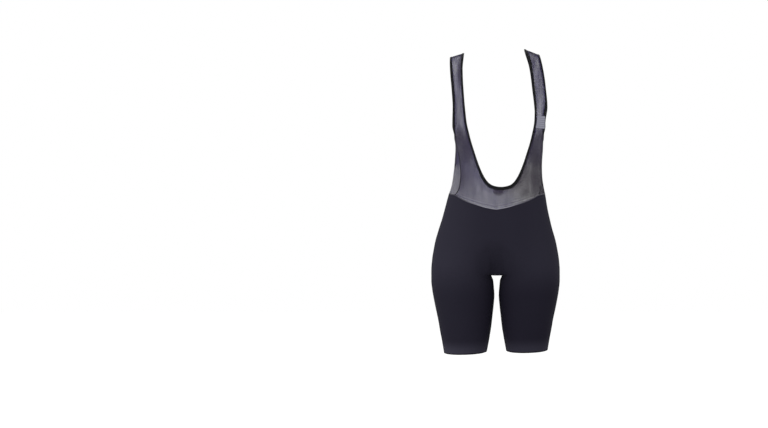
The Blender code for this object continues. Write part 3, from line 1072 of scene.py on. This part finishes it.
def knit_finish():
    """Black stretch knit: fine upright wales, a dark hem edge, paler where the hem grips; painted light makes
    it paler on the hips and towards both sides, most on the left, and painted shade makes it darker where it
    turns to its sides.
    """
    dark, pale = (0.0075, 0.0067, 0.0117), (0.0265, 0.0253, 0.0368)
    knit = Finish("black stretch knit", dark, Roughness=0.7, Specular_IOR_Level=0.02)
    x, y, z = knit.place()
    wales = (x + y * 0.35).wave(WALE)
    courses = z.wave(COURSE)
    cloudy = knit.noise(knit.vector(x, y, z), CLOUD_SCALE)
    above_hem = z - x * (HEM_TILT / WIDEST) - HEM
    hem = above_hem.step(*HEM_GRIP)
    # Painted light: the knit is painted paler towards its left side, where the light falls, and a little
    # paler towards its right side
    left = x.step(*LEFT_PAINTED_LIGHT)
    right = x.step(*RIGHT_PAINTED_LIGHT)
    upper = z.step(*UPPER_PAINTED_LIGHT)
    # Painted light: paler on the hips than on the thighs, and on the left hem more than on the right; the
    # pale hem itself is the grip band's own colour
    painted_light_on_hips = upper * (0.24 + left * 0.10 + right * 0.14)
    share = painted_light_on_hips + left * (0.17 + hem * 0.30) + hem * 0.50 + 0.045
    colour = knit.mix(share + (cloudy - 0.5) * 0.08, (*dark, 1.0), (*pale, 1.0))
    # Painted shade: the knit is painted towards black where it turns to its sides; the last few millimetres
    # above the hem are darkened too, as a dark hem edge
    edge = (knit.facing().step(*KNIT_PAINTED_SIDE_SHADE) * 0.55).larger(above_hem.step(*HEM_EDGE) * 0.9)
    colour = knit.mix(edge, colour, (0.0, 0.0, 0.0, 1.0))
    rough = 0.64 + cloudy * 0.12 + wales * 0.05
    relief = knit.bump(wales * 0.6 + courses * 0.4, 0.05 * MM)
    return knit.use(Base_Color=colour, Roughness=rough, Normal=relief)


def painted_shade_spot(x, z, middle_x, middle_z, reach_x, reach_z, more):
    """The painted shade, as added cover, that one row of the table adds, most at its middle."""
    aside = (x - middle_x * MM) * (1 / (reach_x * MM))
    up = (z - middle_z * MM) * (1 / (reach_z * MM))
    return (aside * aside + up * up).step(1.0, 0.0) * more


def mesh_finish(name, front):
    """Sheer mesh: see-through all over, with painted shade as denser, darker mesh in spots, across the chest,
    beside the bindings and where it turns aside, and faint ribs.
    """
    tint, deep, plain = (0.026, 0.021, 0.066), (0.026, 0.0215, 0.039), (0.028, 0.024, 0.034)
    mesh = Finish(name, tint, Roughness=0.8, Specular_IOR_Level=0.1)
    x, y, z = mesh.place()
    across = mesh.across()
    streaks = mesh.noise(mesh.vector(x * 11.0, y * 3.0, z), 9.0)
    threads = mesh.noise(mesh.vector(x * 45.0, y * 9.0, z * 2.0), 9.0)
    ribs = z.wave(MESH_RIB_LEVEL) * 0.5 + (x + y * 0.3).wave(MESH_RIB_UPRIGHT) * 0.5
    strap = z.step(*STRAPS)
    cover = (streaks - 0.5) * (0.22 + strap * 0.30) + (threads - 0.5) * 0.10 + (ribs - 0.5) * 0.03
    crest = (y * y).step((10 * MM) ** 2, 0.0) * z.step(*CREST_TOP)
    above_seam = z.step(*ABOVE_SIDE_SEAM)
    # Painted shade: the mesh is made denser and near black where it turns to its sides, on the right all the
    # way up, on the left only above the side seam
    painted_rim_shade = mesh.facing().step(*MESH_PAINTED_SIDE_SHADE) * x.step(*PAINTED_RIM_SHADE_SIDE).larger(above_seam)
    # Painted shade: the mesh is made denser beside the neckline's binding and, on the straps, beside their
    # outer bindings
    painted_shade_by_bindings = across.step(*NECK_EDGE) + across.step(*OUTER_EDGE) * strap
    cover = cover + crest * CREST_COVER + painted_rim_shade * 0.45
    if front:
        cover = cover + STRAP_COVER + z.step(*LOWER_BIB) * (WAIST_COVER - STRAP_COVER) + painted_shade_by_bindings * 0.12
        # Painted shade: a band of denser mesh across the chest, from under the arms down to above the waist
        cover = cover + z.step(*PAINTED_CHEST_SHADE_FOOT) * z.step(*PAINTED_CHEST_SHADE_TOP) * 0.10
        # Painted shade: spots where the front mesh is made denser, and below, deeper in colour
        painted_shade_cover = sum(painted_shade_spot(x, z, *row) for row in PAINTED_SHADES)
        above_waist = z - WAIST[0][1] * MM - x.size() * 0.16 - x * x * 1.3
        lines = (above_waist.wave(WAIST_LINE) - 0.5) * above_waist.step(0.036, 0.006)
        cover = cover + painted_shade_cover + lines * 0.22
        shade = painted_rim_shade + painted_shade_cover
    else:
        ahead = y.step(10 * MM, -10 * MM)
        # Painted shade: where the back mesh wraps round to the front it is made denser, across the chest on
        # the left and low on the right side; elsewhere on the left it is a little thinner
        top = z.step(*BACK_PAINTED_SHADE_TOP)
        painted_sliver_shade = above_seam * top * 0.34 + z.step(*BACK_PAINTED_SHADE_FOOT) * top * 0.14
        far_sliver = x.step(0.098, 0.112) * z.step(-0.31, -0.345)
        cover = cover + BACK_COVER + ahead * x.step(-0.07, -0.10) * (painted_sliver_shade - 0.05)
        cover = cover + ahead * far_sliver * 0.34
        shade = painted_rim_shade + z.step(-0.20, -0.28) * 0.12
    plainer = (x + z + 0.372).step(-0.02, 0.09) * z.step(-0.24, -0.32)
    # Painted shade: where the mesh is painted darker it also takes the deeper colour; on the back the lower
    # part takes the deeper colour too
    colour = mesh.mix(shade * 3.5, (*tint, 1.0), (*deep, 1.0))
    colour = mesh.mix(plainer, colour, (*plain, 1.0))
    # Painted shade at the mesh's turning sides, near black
    colour = mesh.mix(painted_rim_shade * 0.55, colour, (0.002, 0.002, 0.003, 1.0))
    return mesh.use(Base_Color=colour, Alpha=cover, Normal=mesh.bump(ribs, 0.08 * MM))


def grained(name, colour, shine, scale, relief):
    """A plain trim's finish with a fine grain."""
    trim = Finish(name, colour, Roughness=0.6, Specular_IOR_Level=shine)
    x, y, z = trim.place()
    grain = trim.noise(trim.vector(x, y, z), scale)
    trim.use(Roughness=0.5 + grain * 0.2, Normal=trim.bump(grain, relief))
    return trim


def binding_finish():
    """Black elastic binding with a fine grain."""
    return grained("black elastic binding", (0.003, 0.003, 0.004), 0.08, 900.0, 0.08 * MM).material


def thread_finish():
    """Black thread, uneven in its gloss."""
    thread = Finish("black thread", (0.006, 0.006, 0.008), Roughness=0.5, Specular_IOR_Level=0.15)
    x, y, z = thread.place()
    twist = thread.noise(thread.vector(x, y, z), 2500.0)
    return thread.use(Roughness=0.44 + twist * 0.14)


def seam_finish():
    """The cover thread of a flat seam."""
    return grained("flat seam", (0.012, 0.011, 0.016), 0.15, SEAM_GRAIN, SEAM_RELIEF).material


def waist_edge_finish():
    """The edge above the waist seam, palest where the seam is lowest."""
    pale, dim = (0.165, 0.162, 0.190), (0.050, 0.048, 0.060)
    edge = grained("pale waist edge", pale, 0.15, SEAM_GRAIN, SEAM_RELIEF)
    away = edge.place()[0].size()
    return edge.use(Base_Color=edge.mix(away.step(*PALE_EDGE), (*pale, 1.0), (*dim, 1.0)))


def band_finish():
    """Grey band with fine level lines."""
    dark, pale = (0.130, 0.130, 0.165), (0.205, 0.205, 0.250)
    band = Finish("grey lined band", pale, Roughness=0.7, Specular_IOR_Level=0.2)
    x, y, z = band.place()
    lines = (z + x * 0.03).wave(BAND_LINE)
    colour = band.mix(lines, (*dark, 1.0), (*pale, 1.0))
    return band.use(Base_Color=colour, Normal=band.bump(lines, 0.2 * MM))


# ---- Making


def make(name, shape, finish):
    mesh = bpy.data.meshes.new(name)
    shape.to_mesh(mesh)
    shape.free()
    mesh.shade_smooth()
    mesh.set_sharp_from_angle(angle=math.radians(CREASE_ANGLE))
    mesh.materials.append(finish)
    made = bpy.data.objects.new(name, mesh)
    bpy.context.scene.collection.objects.link(made)
    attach(made, "root")
    return made


def merged(shapes):
    """One shape of several."""
    whole = bmesh.new()
    for shape in shapes:
        mesh = bpy.data.meshes.new("part")
        shape.to_mesh(mesh)
        shape.free()
        whole.from_mesh(mesh)
        bpy.data.meshes.remove(mesh)
    return whole


def dress():
    knit = knit_finish()
    front_mesh = mesh_finish("sheer front mesh", True)
    back_mesh = mesh_finish("sheer back mesh", False)
    tape = binding_finish()
    thread = thread_finish()
    seam = seam_finish()
    edge = waist_edge_finish()
    skin = make_skin()
    cloths = {
        "shorts_front": (knit, KNIT_WALL),
        "shorts_back_left": (knit, KNIT_WALL),
        "shorts_back_right": (knit, KNIT_WALL),
        "gusset": (knit, KNIT_WALL),
        "bib_front": (front_mesh, MESH_WALL),
        "bib_back": (back_mesh, MESH_WALL),
    }
    for name, (finish, wall) in cloths.items():
        piece = make(name + "_cloth", cut(skin, name, wall), finish)
        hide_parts(name)
    edges = {
        "neck_binding": (bib(1, False, 0.0, 0.0), neck_binding_width),
        "armhole_binding_left": (bib(-1, False, 2.5, 1.0), armhole_binding_width),
        "armhole_binding_right": (bib(1, False, 2.5, 1.0), armhole_binding_width),
    }
    rows = []
    for name, (start, width_at) in edges.items():
        stations = binding_stations(skin, start, width_at)
        piece = make(name + "_tape", binding(stations), tape)
        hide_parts(name)
        line = [
            (place + into * (width - EDGE_STITCH_INSET), into.normalized(), normal)
            for place, into, normal, width in stations + stations[:1]
        ]
        rows += running(line, 0.0, BINDING_SLACK + BINDING_WALL, EDGE_STITCH)
        rows += running(line, 0.0, -MESH_WALL - BINDING_SLACK - BINDING_WALL, EDGE_STITCH)
    piece = make("binding_stitches", stitches(rows), thread)
    piece = make("strap_band_wrap", strap_band(), band_finish())
    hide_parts("strap_band")
    sew(skin, seam, edge, thread)
    skin.free()


def beside(line, aside):
    """The same line, moved across on the skin."""
    return [(point + across * aside, across, normal) for point, across, normal in line]


def sew(skin, seam, edge, thread):
    """Flat seams between the shorts' pieces, narrow ones on the bib, a pale edge above the waist seam."""
    tapes = []
    edges = []
    rows = []
    shorts = (
        ("shorts_front", "shorts_back_left"),
        ("shorts_front", "shorts_back_right"),
        ("shorts_back_left", "shorts_back_right"),
        ("shorts_front", "gusset"),
        ("shorts_back_left", "gusset"),
        ("shorts_back_right", "gusset"),
    )
    for one, two in shorts:
        for line in seam_paths(skin, one, two):
            tapes.append(seam_tape(line, SEAM_WIDTH, SEAM_RISE))
            rows += zigzag(line, SEAM_WIDTH, SEAM_RISE)
    for line in seam_paths(skin, "bib_front", "bib_back"):
        tapes.append(seam_tape(line, SIDE_SEAM_WIDTH, SEAM_RISE))
        rows += running(line, 0.0, SEAM_RISE, EDGE_STITCH)
    waist = (
        ("shorts_front", "bib_front"),
        ("shorts_front", "bib_back"),
        ("shorts_back_left", "bib_back"),
        ("shorts_back_right", "bib_back"),
    )
    for one, two in waist:
        for line in seam_paths(skin, one, two):
            up = 1 if line[len(line) // 2][1].z > 0 else -1
            edges.append(seam_tape(beside(line, up * EDGE_WIDTH / 2), EDGE_WIDTH, SEAM_RISE))
            rows += running(line, -up * TOPSTITCH, TOPSTITCH_RISE, EDGE_STITCH)
    piece = make("flat_seams", merged(tapes), seam)
    piece = make("waist_seam_edge", merged(edges), edge)
    piece = make("seam_threads", stitches(rows), thread)


# ---- Studio


SENSOR = 36.0
LENS = 51.97
LENS_SHIFT = -0.1452
CAMERA_SPOT = (0.0, -3.0, -0.4294)
LAMP_TARGET = (0, 0, -0.45)
FLOOR_HEIGHT = -1.05
FLOOR_SIZE = 4.0
WHITE = (1.0, 1.0, 1.0)


def lamp(name, spot, size, power):
    light = bpy.data.lights.new(name, "AREA")
    light.shape = "RECTANGLE"
    light.size, light.size_y = size
    light.energy = power
    made = bpy.data.objects.new(name, light)
    made.location = spot
    made.rotation_euler = (Vector(LAMP_TARGET) - Vector(spot)).to_track_quat("-Z", "Y").to_euler()
    bpy.context.scene.collection.objects.link(made)


def studio():
    scene = bpy.context.scene
    camera = bpy.data.cameras.new("camera")
    camera.sensor_width = SENSOR
    camera.lens = LENS
    camera.shift_x = LENS_SHIFT
    made = bpy.data.objects.new("camera", camera)
    made.location = CAMERA_SPOT
    made.rotation_euler = (math.pi / 2, 0.0, 0.0)
    scene.collection.objects.link(made)
    scene.camera = made
    scene.view_settings.view_transform = "Standard"
    world = scene.world or bpy.data.worlds.new("studio")
    scene.world = world
    world.use_nodes = True
    sky = world.node_tree.nodes["Background"]
    sky.inputs["Color"].default_value = (*WHITE, 1.0)
    sky.inputs["Strength"].default_value = 1.0
    lamp("key", (-2.2, -2.4, 0.9), (1.2, 1.8), 55)
    lamp("fill", (2.4, -1.8, 0.2), (1.2, 1.6), 16)
    floor_shape = bmesh.new()
    bmesh.ops.create_grid(floor_shape, x_segments=1, y_segments=1, size=FLOOR_SIZE)
    bmesh.ops.translate(floor_shape, verts=floor_shape.verts, vec=(0, 0, FLOOR_HEIGHT))
    mesh = bpy.data.meshes.new("floor")
    floor_shape.to_mesh(mesh)
    floor_shape.free()
    pale = Finish("pale floor", WHITE, Roughness=1.0)
    mesh.materials.append(pale.material)
    floor = bpy.data.objects.new("floor", mesh)
    scene.collection.objects.link(floor)


studio()
dress()
